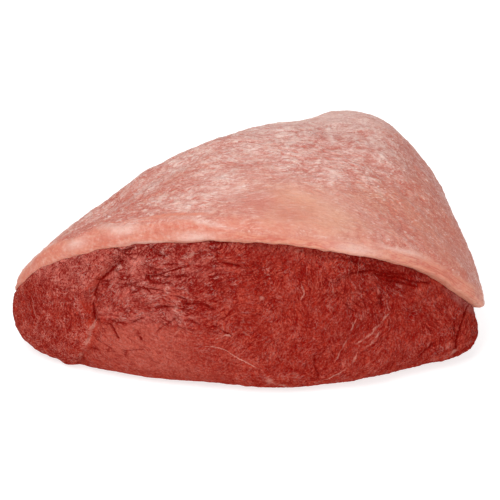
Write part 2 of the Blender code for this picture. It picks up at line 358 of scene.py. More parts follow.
def spline(before, start, end, after, steps):
    """Points of a curve that passes through start and end, for every row of four neighbours."""
    t = (np.arange(steps) / steps)[None, :, None]
    before, start, end, after = (rows[:, None, :] for rows in (before, start, end, after))
    points = 0.5 * (2 * start + (end - before) * t
                    + (2 * before - 5 * start + 4 * end - after) * t ** 2
                    + (3 * start - before - 3 * end + after) * t ** 3)
    return points.reshape(-1, start.shape[-1])


def closed_curve(rows, steps=64):
    rows = np.array(rows)
    before, after, beyond = (np.roll(rows, shift, axis=0) for shift in (1, -1, -2))
    curve = spline(before, rows, after, beyond, steps)
    return np.vstack([curve, curve[:1]])


def open_curve(rows, steps=8):
    rows = np.array(rows)
    padded = np.vstack([2 * rows[:1] - rows[1:2], rows, 2 * rows[-1:] - rows[-2:-1]])
    curve = spline(padded[:-3], padded[1:-2], padded[2:-1], padded[3:], steps)
    return np.vstack([curve, rows[-1:]])


class Sections:
    """The piece cut by upright planes through its crest, one for each column of the mesh."""

    def __init__(self, columns):
        curve = closed_curve(OUTLINE)
        steps = np.hypot(np.diff(curve[:, 0]) * WIDTH, np.diff(curve[:, 1]) * DEPTH)
        crowding = 1 + (FRONT_CROWDING - 1) * (1 - ease(0.15, 0.45, curve[1:, 1]))
        travelled = np.concatenate([[0.0], np.cumsum(steps * crowding)])
        wanted = np.arange(columns) / columns * travelled[-1]
        across, back, rim, foot = (np.interp(wanted, travelled, curve[:, k]) for k in range(4))
        right = across + 0.5
        outline = np.stack([across * WIDTH, back * DEPTH, 0 * across], axis=1)
        self.even_rim = rim * FACE_HEIGHT
        self.rim = self.even_rim + 0.0004 * rough_noise(outline, 0.005, seed=41)
        self.foot = foot * FACE_HEIGHT
        self.crest = np.array([CREST[0] * WIDTH, CREST[1] * DEPTH])
        spokes = outline[:, :2] - self.crest
        self.reach = np.linalg.norm(spokes, axis=1)
        self.spoke = spokes / self.reach[:, None]
        # How full the dome is towards its middle, and how far its shoulder stands out
        self.fullness = 1.45 + 0.4 * right + 0.45 * back
        self.shoulder = 1 + 0.7 * ease(0.18, 0.5, back) * (0.8 + 0.2 * ease(0.3, 0.75, right))
        # Fat at the edge, how far it stands out, and how far the lean draws back under it
        self.fat_edge = 0.0038 + 0.005 * (1 - ease(0.25, 0.5, back))
        self.fat_edge -= 0.0028 * (1 - ease(0.0, 0.08, right))
        self.fat_round = 0.6 * self.fat_edge
        self.setback = 0.0042 - 0.002 * ease(0.1, 0.4, back)
        self.inner = self.reach - self.setback
        turn = np.arange(columns) / columns * 2 * np.pi
        waves = 0.0004 * np.sin(17 * turn) * np.sin(5 * turn + 1)
        self.outer = self.inner + 0.0042 * ease(0.1, 0.9, right) + waves

    def dome(self, share, rim, crest):
        """Height of a dome over its rim, at a share of the way out from its crest."""
        outward = np.hypot(share, CREST_SOFTNESS) - CREST_SOFTNESS
        outward = np.minimum(outward / (np.hypot(1.0, CREST_SOFTNESS) - CREST_SOFTNESS), 1.0)
        return rim + (crest - rim) * (1 - outward ** self.fullness) ** (1 / self.shoulder)

    def ring(self, distance, height):
        plan = self.crest + self.spoke * np.asarray(distance)[:, None]
        return np.column_stack([plan, np.broadcast_to(height, distance.shape)])


def line_distance(line, x, z):
    """Distance from points of the cut face to a line on it, positive on the left of its travel."""
    points = open_curve(line) / 100 * (WIDTH, FACE_HEIGHT)
    nearest = np.full(x.shape, np.inf)
    signed = np.zeros(x.shape)
    for start, end in zip(points[:-1], points[1:]):
        run = end - start
        share = np.clip(((x - start[0]) * run[0] + (z - start[1]) * run[1]) / (run @ run), 0, 1)
        off_x = x - start[0] - share * run[0]
        off_z = z - start[1] - share * run[1]
        distance = np.hypot(off_x, off_z)
        side = np.where(run[0] * off_z - run[1] * off_x >= 0, 1.0, -1.0)
        closer = distance < nearest
        signed = np.where(closer, side * distance, signed)
        nearest = np.where(closer, distance, nearest)
    return signed


def nearest_line(lines, x, z):
    """Of several lines, the distance to the nearest one, counted in its half-widths, and its strength."""
    chosen = np.full(x.shape, np.inf)
    strength = np.zeros(x.shape)
    for line_strength, width, *line in lines:
        distance = line_distance(line, x, z) / (width / PER_METRE)
        closer = np.abs(distance) < np.abs(chosen)
        chosen = np.where(closer, distance, chosen)
        strength = np.where(closer, line_strength, strength)
    return np.clip(chosen, -FAR_OFF, FAR_OFF), strength * (1 - ease(2.5, 5.0, np.abs(chosen)))


def patchwork(patches, across, along):
    """How far points lie in any of the patches, from 0 to 1."""
    inside = 0.0
    for place_across, place_along, reach_across, reach_along in np.array(patches) / 100:
        away = hump(across - place_across, reach_across) * hump(along - place_along, reach_along)
        inside = np.maximum(inside, away)
    return inside


def broad_relief(points, cut_front):
    """Seam, crease, break and broad waves, as on the solid."""
    x, y, z = points.T
    seam = line_distance(SEAM, x, z)
    crease = line_distance(CREASE, x, z)
    broken = line_distance(BREAK, x, z)
    relief = 0.0008 * hump(seam + 0.004, 0.0035) - 0.0014 * hump(seam, 0.0022)
    relief += 0.0012 * (0.6 * hump(crease + 0.003, 0.0025) - hump(crease, 0.0018))
    relief -= 0.0006 * ease(0.0, 0.0015, -broken) * (1 - ease(0.004, 0.016, -broken))
    waves = np.sin(x / 0.0075 + 1.3 * np.sin(z / 0.011)) * np.sin(z / 0.0062 + y / 0.013)
    return relief * cut_front + 0.0005 * waves


def wall_grid(cut):
    """The open sides of the lean by ring and column: points, height of the unrolled side, and how freely
    relief may stand there."""
    rows = []
    for k in range(FACE_RINGS):
        height = cut.rim + (cut.foot - cut.rim) * k / FACE_RINGS
        ring = cut.ring(cut.reach - cut.setback * (height / cut.rim) ** 2, height)
        rows.append((ring, height, ease(0.0, 0.0018, cut.rim - height)))
    for k in range(FOOT_RINGS + 1):
        angle = np.pi / 2 * k / FOOT_RINGS
        height = cut.foot * (1 - np.sin(angle))
        distance = cut.reach - cut.setback * (height / cut.rim) ** 2 - cut.foot * (1 - np.cos(angle))
        freedom = np.full(len(cut.rim), min(1.0, 1.7 * np.cos(angle)))
        rows.append((cut.ring(distance, height), cut.foot * (1 - angle), freedom))
    return (np.array(column) for column in zip(*rows))


def grid_normals(grid):
    downward = np.gradient(grid, axis=0)
    around = np.roll(grid, -1, axis=1) - np.roll(grid, 1, axis=1)
    normal = np.cross(downward, around)
    return normal / np.linalg.norm(normal, axis=2, keepdims=True)


def blurred(field, passes):
    """A field over rings and columns, smoothed with its neighbours."""
    for _ in range(passes):
        field = (np.roll(field, 1, axis=1) + 2 * field + np.roll(field, -1, axis=1)) / 4
        above = np.vstack([field[:1], field[:-1]])
        below = np.vstack([field[1:], field[-1:]])
        field = (above + 2 * field + below) / 4
    return field


def grain_at(x, z, cut_front):
    """Angle of the grain at points of the side, how much it shows as fibres and how far it is apart."""
    def weighable(degrees, fibrous, opened):
        twice = 2 * math.radians(degrees)
        return np.array([math.cos(twice), math.sin(twice), fibrous, opened, 1.0])

    total = SIDE_WEIGHT * weighable(*SIDE_GRAIN)
    for across, up, *facts in GRAIN:
        away = np.hypot(x - across / 100 * WIDTH, z - up / 100 * FACE_HEIGHT)
        weight = hump(away, GRAIN_REACH * WIDTH) * cut_front
        total = total + weight[:, None] * weighable(*facts)
    cosine, sine, fibrous, opened, weights = total.T
    return 0.5 * np.arctan2(sine, cosine), fibrous / weights, opened / weights


def lean_fields(grid, unrolled, freedom):
    """Relief of the lean's open sides, and the masks that its material reads."""
    def bumps(size, seed):
        return noise(points, size, seed)

    shape = grid.shape[:2]
    points = grid.reshape(-1, 3)
    x, y, z = points.T
    level_share = z / FACE_HEIGHT
    cut_front = 1 - ease(0.35 * DEPTH, 0.5 * DEPTH, y)
    around = np.roll(grid, -1, axis=1) - np.roll(grid, 1, axis=1)
    steps = np.linalg.norm(around[FACE_RINGS // 2], axis=1) / 2
    across = np.tile(np.cumsum(steps), shape[0])
    up = unrolled.ravel()
    level = (around / np.linalg.norm(around, axis=2, keepdims=True)).reshape(-1, 3)

    seam = line_distance(SEAM, x, z)
    broken = line_distance(BREAK, x, z)
    lobe = ease(0.0, 0.002, -seam) * cut_front
    patch = ease(0.0, 0.003, -broken) * hump(x + 0.195 * WIDTH, 0.026)
    patch = patch * hump(z - 0.22 * FACE_HEIGHT, 0.022)
    patch = np.clip(1.3 * patch * (1 - lobe), 0, 1)
    low_right = 0.3 * hump(x - 0.27 * WIDTH, 0.016) * hump(z - 0.12 * FACE_HEIGHT, 0.01)
    patch = np.maximum(patch, low_right) * cut_front

    angle, fibrous, apart = grain_at(x, z, cut_front)
    granular = np.clip(1 - fibrous, 0, 1)
    angle = angle + (0.3 + 1.4 * granular * (1 - patch)) * bumps(0.007, 3)
    along = level * np.cos(angle)[:, None] + np.array([0, 0, 1]) * np.sin(angle)[:, None]

    # Bundles of fibres, cut short like leaves, and granules, both on slightly bent ground
    bend_across = across + 0.0008 * bumps(0.0035, 14)
    bend_up = up + 0.0008 * bumps(0.0035, 15)
    span = steps.sum()
    inside, own = bundles(bend_across, bend_up, angle, BUNDLE_SIZE, BUNDLE_STRETCH, 40, span)
    leaf = ease(0.0, 0.45, inside) + 0.6 * (own - 0.5)
    in_granule, own = bundles(bend_across, bend_up, angle, GRANULE_SIZE, GRANULE_STRETCH, 50, span)
    granules = ease(0.0, 0.4, in_granule) + 0.6 * (own - 0.5)
    fibres = streaks(points, along, 0.0009, 0.004, seed=8)
    lumps = rough_noise(points, 0.01, seed=20)
    opening = np.clip(apart * (0.75 + 0.6 * bumps(0.006, 28)), 0, 1)
    calm = 1 - 0.8 * patch

    relief = LUMP_DEPTH * lumps + RIPPLE_DEPTH * bumps(0.003, 29) * calm
    relief += BUNDLE_DEPTH * (leaf - 0.8) * (0.25 + 0.75 * fibrous) * (0.25 + 0.75 * opening) * calm
    relief += GRANULE_DEPTH * (granules - 0.8) * (0.25 + 0.75 * granular) * (0.4 + 0.6 * opening) * calm
    relief += FIBRE_DEPTH * fibres * (0.4 + 0.6 * fibrous) * (1 - 0.4 * patch)
    # Gaps between bundles and pores between granules: the material paints them dark, as the shade that
    # falls in them
    gaps = (1 - ease(0.0, 0.16, inside)) * (0.3 + 0.7 * fibrous) * opening
    pores = (1 - ease(0.0, 0.2, in_granule)) * (0.3 + 0.7 * granular) * 0.4 * opening
    painted_hollow_shade = np.maximum(gaps, pores) * calm

    wandering = 0.00045 * bumps(0.0035, 31)
    # Cracks: a groove in the relief, and a mask that paints them dark as shade
    crack_side, crack = nearest_line(CRACKS, x + wandering, z + wandering)
    crack = crack * ease(-1.0, -0.3, bumps(0.0035, 34)) * cut_front
    relief -= CRACK_DEPTH * crack * hump(crack_side, 2.0)
    thread_side, thread = nearest_line(THREADS, x + wandering, z - wandering)
    thread = thread * ease(-0.6, 0.3, bumps(0.0024, 36)) * cut_front

    spot = np.zeros(len(points))
    for spot_across, spot_up, reach, strength in SPOTS:
        away = np.hypot(x - spot_across / 100 * WIDTH, z - spot_up / 100 * FACE_HEIGHT)
        away = away + 0.0011 * bumps(0.0013, 37)
        away = away / (reach / PER_METRE)
        spot = np.maximum(spot, strength * ease(-1.5, -0.5, -away) * cut_front)
    # Flecks: tiny pale specks, partly fat and partly painted glints
    flecks = ease(0.55, 0.75, bumps(0.0009, 38))
    flecks = flecks * ease(-0.2, 0.5, bumps(0.01, 39))
    spot = np.maximum(spot, 0.25 * flecks * (1 - patch) * (1 - 0.6 * lobe))

    strip = hump(seam + 0.002 + 2 * wandering, 0.0016) * (1 - ease(0.66, 0.8, level_share))
    strip = strip * ease(0.1, 0.3, level_share) * cut_front
    left_rim = ease(0.45, 0.49, -x / WIDTH) * cut_front
    low_edge = 1 - ease(0.02, 0.12, level_share + 0.04 * bumps(0.006, 44))
    warm = np.maximum(strip, np.maximum(0.35 * left_rim, 0.35 * low_edge))
    warm = warm * ease(-0.9, 0.1, bumps(0.0025, 45))
    under_rim = (grid[:1, :, 2] - grid[:, :, 2]).ravel()
    silver = ease(0.4, 0.44, x / WIDTH) * (1 - ease(0.002, 0.0045, under_rim)) * cut_front

    dark = patchwork(DARK_PATCHES, x / WIDTH, level_share) * cut_front
    # Painted sheen: paler, pinker lean where a moist sheen shows, also beside the seam
    painted_sheen = patchwork(PAINTED_SHEEN_PATCHES, x / WIDTH, level_share)
    beside_seam = hump(seam + 0.0012, 0.001) * ease(0.48, 0.6, level_share)
    beside_seam = beside_seam * (1 - ease(0.8, 0.9, level_share))
    painted_sheen = np.maximum(painted_sheen, beside_seam) * ease(-1.4, 0.1, bumps(0.0045, 46)) * cut_front
    # Painted light: the lean just under the fat is painted lighter, against the shade of the fat's lip
    painted_light_under_fat = (1 - ease(0.001, 0.007, under_rim)) * (1 - ease(0.05, 0.2, x / WIDTH)) * cut_front

    relief = relief.reshape(shape)
    # Small dips and rises of the relief: the material paints shade into the dips and a pale sheen onto the
    # rises
    small = relief - blurred(relief, 8)
    cavity = np.clip(0.5 + small.ravel() / 0.0005, 0, 1)
    standing = (relief + broad_relief(points, cut_front).reshape(shape)) * freedom
    masks = dict(
        painted_hollow_shade=painted_hollow_shade, spot=spot, warm=warm, patch=patch, lobe=lobe, cavity=cavity, silver=silver,
        painted_light_under_fat=painted_light_under_fat, opening=opening, painted_sheen=painted_sheen, dark=dark, crack_side=crack_side, crack=crack,
        thread_side=thread_side, thread=thread, grain=along * (0.5 + 0.7 * fibrous)[:, None],
    )
    return standing, {name: mask.reshape(shape + mask.shape[1:]) for name, mask in masks.items()}


def fat_height(points):
    """Swells, dents and broad waves of the fat's outer side, as on the solid."""
    x, y = points[:, 0], points[:, 1]
    height = 0.0006 * np.sin(x / 0.0062 + 1.7 * np.sin(y / 0.012)) * np.sin(y / 0.0071 - x / 0.021)
    for across, back, rise, reach_x, reach_y in SWELLS:
        height += rise * hump(x - across * WIDTH, reach_x) * hump(y - back * DEPTH, reach_y)
    return height


class Body:
    """A closed surface put together ring by ring, with a value of each mask at every point."""

    def __init__(self, masks):
        self.points = []
        self.masks = {name: [] for name in masks}
        self.blank = {name: np.zeros(mask.shape[2:]) for name, mask in masks.items()}
        self.faces = []
        self.smooth = []
        self.count = 0
        self.last = None

    def add_points(self, points, masks=None):
        """Adds points and returns their numbers."""
        self.points.append(points)
        for name, values in self.masks.items():
            blank = self.blank[name]
            given = masks[name] if masks else blank
            values.append(np.broadcast_to(given, (len(points), *blank.shape)))
        numbers = np.arange(self.count, self.count + len(points))
        self.count += len(points)
        return numbers

    def add_faces(self, *corners, smooth=True):
        self.faces.append(np.stack(corners, axis=1))
        self.smooth.append(np.full(len(corners[0]), smooth))

    def grow(self, ring, masks=None, smooth=True):
        """Adds a ring and joins it to the last one, which has as many points or half as many."""
        upper, lower = self.last, self.add_points(ring, masks)
        self.last = lower
        if upper is None:
            return
        upper_next = np.roll(upper, -1)
        if len(upper) == len(lower):
            lower_next = np.roll(lower, -1)
            self.add_faces(upper, lower, lower_next, smooth=smooth)
            self.add_faces(upper, lower_next, upper_next, smooth=smooth)
        else:
            start, middle, end = lower[0::2], lower[1::2], np.roll(lower[0::2], -1)
            self.add_faces(upper, start, middle)
            self.add_faces(upper, middle, upper_next)
            self.add_faces(upper_next, middle, end)

    def cap(self, point, top=True, masks=None):
        """Closes the last ring with a fan to one point."""
        number = self.add_points(np.array([point]), masks)[0]
        around = self.last if top else self.last[::-1]
        self.add_faces(np.full(len(around), number), around, np.roll(around, -1))

    def mesh(self, name):
        data = bpy.data.meshes.new(name)
        data.from_pydata(np.vstack(self.points), [], np.vstack(self.faces))
        for mask, values in self.masks.items():
            joined = np.concatenate(values).astype(np.float32)
            kind, field = ("FLOAT", "value") if joined.ndim == 1 else ("FLOAT_VECTOR", "vector")
            attribute = data.attributes.new(mask, kind, "POINT")
            attribute.data.foreach_set(field, joined.ravel())
        data.polygons.foreach_set("use_smooth", np.concatenate(self.smooth))
        data.validate()
        return data


def lean_body(cut):
    grid, unrolled, freedom = wall_grid(cut)
    standing, masks = lean_fields(grid, unrolled, freedom)
    grid = grid + grid_normals(grid) * standing[:, :, None]
    grid[:, :, 2] = np.maximum(grid[:, :, 2], 0.0)
    body = Body(masks)
    for k, share in enumerate(COVERED_SHARES):
        body.grow(cut.ring(cut.inner * share, cut.dome(share, cut.rim, LEAN_CREST)))
        if k == 0:
            body.cap((*cut.crest, LEAN_CREST))
    for k, ring in enumerate(grid):
        body.grow(ring, {name: mask[k] for name, mask in masks.items()}, smooth=k > 0)
    body.cap((*grid[-1].mean(axis=0)[:2], 0.0), top=False)
    return body


def top_shares():
    """Shares of the way out for the rings of the fat's top, closest together at its edge."""
    shares = [1.0]
    step = 0.0032
    while shares[-1] - step > 0.02:
        shares.append(shares[-1] - step)
        step = min(step * 1.12, 0.0088)
    return shares[::-1]


def fat_fields(points, height):
    """Relief of the fat, and the masks that its material reads.

    height is how high a point lies over the lower edge, as a share of the fat's thickness there, and goes
    on growing inward on top.
    """
    def bumps(size, seed):
        return noise(points, size, seed)

    x, y = points[:, 0], points[:, 1]
    across = x / WIDTH + 0.02 * bumps(0.012, 58)
    back = y / DEPTH + 0.02 * bumps(0.012, 59)
    band_top = 0.55 + 0.4 * (1 - ease(-0.12, 0.02, across)) + 0.25 * ease(0.14, 0.24, across)
    over_band = height + 0.08 * bumps(0.008, 70) - band_top
    on_band = 1 - ease(-0.1, 0.05, over_band)
    swing = 0.55 * bumps(0.01, 51) + 0.08
    along = np.stack([np.cos(swing), np.sin(swing), 0 * swing], axis=1)
    smooth = hump(across - 0.11, 0.16) * hump(back - 0.09, 0.12)
    smooth = 1.25 * smooth + 0.4 * (1 - ease(-0.46, -0.3, across))
    smooth = np.clip(smooth + 0.5 * hump(across - 0.42, 0.12) * hump(back - 0.2, 0.16), 0, 1)
    busy = (1 - 0.8 * smooth) * (1 - 0.5 * ease(0.45, 0.75, back))
    bend_x = x + 0.001 * bumps(0.004, 54)
    bend_y = y + 0.001 * bumps(0.004, 55)
    inside, own = bundles(bend_x, bend_y, swing, FOLD_SIZE, FOLD_STRETCH, seed=56)
    fold = ease(0.0, 0.5, inside) + 0.7 * (own - 0.5)
    wrinkles = streaks(points, along, 0.001, 0.0045, seed=53)
    lumps = rough_noise(points, 0.012, seed=60)
    pits = ease(0.5, 0.8, bumps(0.0026, 64)) * busy
    wrinkle = streaks(points, along, 0.0026, 0.009, seed=81)
    wrinkled = busy * ease(-0.7, 0.3, bumps(0.009, 82))
    relief = FAT_LUMP_DEPTH * lumps + (FOLD_DEPTH * (fold - 0.8) + WRINKLE_DEPTH * wrinkles) * busy
    relief -= PIT_DEPTH * pits + VALLEY_DEPTH * hump(wrinkle, 0.5) * wrinkled
    creases = (1 - ease(0.0, 0.14, inside)) * ease(-0.1, 0.5, bumps(0.007, 62)) * busy
    mottling = bumps(0.006, 66)
    # Pale: pale fat, painted glare, and the painted light of the far slopes
    pale = patchwork(PALE_AND_GLARE_PATCHES, across, back)
    # Painted light: the far slopes of the top are painted paler and whiter, as light falls on them
    far = ease(0.26, 0.44, back) * (1 - ease(0.22, 0.4, across))
    pale = np.clip(pale + 0.35 * ease(-0.1, 0.6, mottling) * busy + 0.8 * far, 0, 1)
    cream = patchwork(CREAM_PATCHES, across, back)
    rosy = patchwork(ROSY_PATCHES, across, back)
    rosy = np.clip(rosy + 0.4 * ease(0.1, 0.7, -mottling) * busy, 0, 1)
    behind_rim = hump(over_band - 0.18, 0.14) * (1 - ease(0.0, 0.1, across))
    behind_rim = behind_rim * ease(-0.34, -0.24, across) * (1 - on_band)
    behind_rim = behind_rim * ease(-0.9, 0.3, bumps(0.008, 71))
    # Painted highlight along the upper edge of the band
    lip_highlight = hump(over_band, 0.09) * ease(-0.8, 0.4, bumps(0.012, 72))
    lip_highlight = lip_highlight * (1 - ease(-0.1, 0.02, across))
    masks = dict(
        fold=np.clip(0.5 + 0.5 * (fold - 0.8) + 0.1 * wrinkles, 0, 1), creases=creases, busy=busy,
        pits=pits, wrinkle=wrinkle, wrinkled=wrinkled, pale=pale, far=far, cream=cream, rosy=rosy,
        grain=along, left=1 - ease(-0.12, 0.05, across), height=np.clip(height, 0, 3), lip_highlight=lip_highlight,
        behind_rim=behind_rim, band=on_band, band_pale_and_highlight=patchwork(PALE_BAND_AND_HIGHLIGHTS, x / WIDTH, height),
        band_rosy=patchwork(ROSY_BAND, x / WIDTH, height),
    )
    layers = np.sin(height * 14 + 3.0 * bumps(0.015, 75)) * ease(0.0, 0.35, across + 0.1)
    side_relief = LAYER_DEPTH * layers + BAND_LUMP_DEPTH * rough_noise(points, 0.005, seed=77)
    return relief * (1 - on_band) + side_relief * on_band, masks


def fat_body(cut):
    """The fat cap: its top, the band at the cut, and its underside against the lean."""
    edge = cut.even_rim + cut.fat_edge
    crest = LEAN_CREST + CREST_FAT
    rings = []
    heights = []
    for share in top_shares():
        ring = cut.ring(cut.outer * share, cut.dome(share, edge, crest))
        inward = cut.outer * (1 - share)
        tucked = np.clip(cut.fat_round - inward, 0, cut.fat_round)
        sunk = cut.fat_round - np.sqrt(cut.fat_round ** 2 - tucked ** 2)
        ring[:, 2] += fat_height(ring) * (1 - share ** 6) - sunk
        rings.append(ring)
        heights.append(1 + (np.maximum(inward - cut.fat_round, 0) - sunk) / cut.fat_edge)
    edge = edge - cut.fat_round
    for k in range(1, BAND_RINGS + 1):
        share = k / BAND_RINGS
        distance = cut.outer + (cut.inner - cut.outer) * share ** 4 + 0.0004 * np.sin(np.pi * share)
        ring = cut.ring(distance, edge + (cut.rim + CLEARANCE - edge) * share)
        rings.append(ring)
        heights.append((ring[:, 2] - cut.rim) / cut.fat_edge)
    grid = np.array(rings)
    relief, masks = fat_fields(grid.reshape(-1, 3), np.concatenate(heights))
    relief = relief.reshape(grid.shape[:2])
    relief[-1] = 0.0
    grid = grid + grid_normals(grid) * relief[:, :, None]
    masks = {name: mask.reshape(grid.shape[:2] + mask.shape[1:]) for name, mask in masks.items()}
    body = Body(masks)
    for k, share in enumerate(top_shares() + [1.0] * BAND_RINGS):
        # Fewer columns towards the middle, where all of them would crowd
        stride = 1
        while share < 0.55 / stride and stride < 16:
            stride *= 2
        here = {name: mask[k, ::stride] for name, mask in masks.items()}
        body.grow(grid[k, ::stride], here)
        if k == 0:
            body.cap(grid[k].mean(axis=0), masks={name: mask.mean(axis=0) for name, mask in here.items()})
    for share in reversed(COVERED_SHARES):
        height = cut.dome(share, cut.rim, LEAN_CREST) + CLEARANCE
        body.grow(cut.ring(cut.inner * share, height), smooth=False)
    body.cap((*cut.crest, LEAN_CREST + CLEARANCE), top=False)
    return body


def fit_in_box(bodies):
    """Sets the bodies in the box of the solids, so that they are no larger than it."""
    points = np.vstack([ring for body in bodies for ring in body.points])
    low, high = points.min(axis=0), points.max(axis=0)
    box_low, box_high = (np.array(corner) for corner in cad_box)
    scale = (box_high - box_low) / (high - low)
    for body in bodies:
        body.points = [(ring - low) * scale + box_low for ring in body.points]


# Materials

def sum_method(operation, reflected=False):
    """A method that feeds a value, and the other one if there is one, to a node for sums."""
    def method(self, *others):
        values = (*others, self) if reflected else (self, *others)
        return self.finish.maths(operation, *values)
    return method


class Value:
    """A number, colour, direction or shader that flows through a material, with sums for the numbers."""

    def __init__(self, finish, socket):
        self.finish = finish
        self.socket = socket

    __add__ = __radd__ = sum_method("ADD")
    __mul__ = __rmul__ = sum_method("MULTIPLY")
    __sub__ = sum_method("SUBTRACT")
    __rsub__ = sum_method("SUBTRACT", reflected=True)
    __pow__ = sum_method("POWER")
    __abs__ = sum_method("ABSOLUTE")
    larger = sum_method("MAXIMUM")

    def between(self, low, high):
        """0 below low, 1 above high, smooth between."""
        settings = {"interpolation_type": "SMOOTHSTEP"}
        return self.finish.node("ShaderNodeMapRange", settings, {"Value": self, 1: low, 2: high})


class Finish:
    """One material."""

    def __init__(self, name):
        self.material = bpy.data.materials.new(name)
        self.material.use_nodes = True
        self.tree = self.material.node_tree
        self.tree.nodes.remove(self.tree.nodes["Principled BSDF"])

    def node(self, kind, settings=None, sockets=None, output=0):
        """Adds a node with its settings, then the values or links of its sockets."""
        made = self.tree.nodes.new(kind)
        for name, value in (settings or {}).items():
            setattr(made, name, value)
        for name, value in (sockets or {}).items():
            self.feed(made.inputs[name], value)
        return Value(self, made.outputs[output])

    def feed(self, socket, value):
        if isinstance(value, Value):
            self.tree.links.new(value.socket, socket)
        elif isinstance(value, tuple) and socket.type == "RGBA":
            socket.default_value = (*value, 1.0)
        else:
            socket.default_value = value

    def maths(self, operation, *values, kind="ShaderNodeMath"):
        return self.node(kind, {"operation": operation}, dict(enumerate(values)))

    def vector_maths(self, operation, *values):
        return self.maths(operation, *values, kind="ShaderNodeVectorMath")

    def mask(self, name, output="Fac"):
        return self.node("ShaderNodeAttribute", {"attribute_name": name}, output=output)

    def masks(self, *names):
        return (self.mask(name) for name in names)

    def place(self, stretch=(1, 1, 1)):
        """Position on the meat in metres, stretched along the axes."""
        return self.vector_maths("MULTIPLY", self.node("ShaderNodeTexCoord", output="Object"), stretch)

    def noise(self, size, detail=2, rough=0.55, place=None):
        sockets = {"Vector": place or self.place(), "Scale": 1 / size, "Detail": detail, "Roughness": rough}
        return self.node("ShaderNodeTexNoise", None, sockets, output="Fac")

    def turned(self, vector, axis):
        """A place or direction turned, so that the lattice of a noise shows nowhere."""
        sockets = {"Vector": vector, "Axis": axis, "Angle": LATTICE_TURN}
        return self.node("ShaderNodeVectorRotate", {"rotation_type": "AXIS_ANGLE"}, sockets)

    def drawn_noise(self, size, along, length, axis=(0.3, 0.8, 0.5), samples=7):
        """Noise drawn out along a direction, from 0 to 1; each axis gives another."""
        place, along = self.turned(self.place(), axis), self.turned(along, axis)
        total = 0.0
        for k in range(samples):
            step = (k / (samples - 1) - 0.5) * length
            moved = self.vector_maths("MULTIPLY_ADD", along, (step,) * 3, place)
            total = self.noise(size, rough=0.7, place=moved) + total
        return (total * (1 / samples) - 0.5) * DRAWN_CONTRAST + 0.5

    def painted(self, color, *coats):
        """A colour with coats over it, each given by its share and its colour."""
        for share, tone in coats:
            sockets = {0: share, 6: color, 7: tone}
            color = self.node("ShaderNodeMix", {"data_type": "RGBA"}, sockets, output=2)
        return color

    def bump(self, height, distance):
        sockets = {"Height": height, "Distance": distance}
        return self.node("ShaderNodeBump", None, sockets, output="Normal")

    def surface(self, **sockets):
        """The main shader, with its sockets named by words joined with underscores."""
        named = {name.replace("_", " "): value for name, value in sockets.items()}
        return self.node("ShaderNodeBsdfPrincipled", None, named)

    def done(self, shader):
        self.tree.links.new(shader.socket, self.tree.nodes["Material Output"].inputs["Surface"])
        return self.material

    def moist(self, wetness, dull, wet, **sockets):
        """Done with a dull and a wet surface, each given by its roughness and its shine."""
        dull, wet = (self.surface(Roughness=rough, Specular_IOR_Level=shine, **sockets)
                     for rough, shine in (dull, wet))
        return self.done(self.node("ShaderNodeMixShader", None, {0: wetness, 1: dull, 2: wet}))


def thin_lines(drawn, thin):
    """Lines where drawn noise passes its middle."""
    return (1 - abs(drawn - 0.5) * thin).larger(0)


# Painted shade in the cracks
CRACK_RED = (0.160, 0.002, 0.001)
# Dark red of the fine dark grain, also painted as shade in dips, hollows and gaps
DEEP_RED = (0.205, 0.003, 0.002)
BLOOD_RED = (0.305, 0.019, 0.010)
FLESH = (0.380, 0.034, 0.018)
CORAL = (0.470, 0.073, 0.044)
# Rose red of the calm patch, also painted as light under the fat
ROSE_FLESH = (0.425, 0.085, 0.059)
BRIGHT_RED = (0.450, 0.040, 0.020)
# Pale pink of the painted sheen
PAINTED_SHEEN_PINK = (0.620, 0.170, 0.137)
# Pale pink of rises and fibres, partly pale grain and partly painted sheen
MAUVE = (0.540, 0.150, 0.115)
# Pale tissue, also painted as sheen on pale lines
TISSUE = (0.600, 0.250, 0.195)
GLINT = (0.700, 0.340, 0.280)
SILVER = (0.400, 0.130, 0.110)

FAT_PINK = (0.560, 0.265, 0.212)
# Pale fat, also painted as glare and highlights
FAT_PALE = (0.700, 0.450, 0.385)
# Near white of pale streaks, also painted as light on the far slopes and as highlights on ridges
FAT_WHITE = (0.780, 0.590, 0.530)
FAT_CREAM = (0.640, 0.310, 0.205)
FAT_SALMON = (0.600, 0.200, 0.130)
FAT_ROSE = (0.500, 0.125, 0.083)
FAT_WINE = (0.430, 0.085, 0.057)


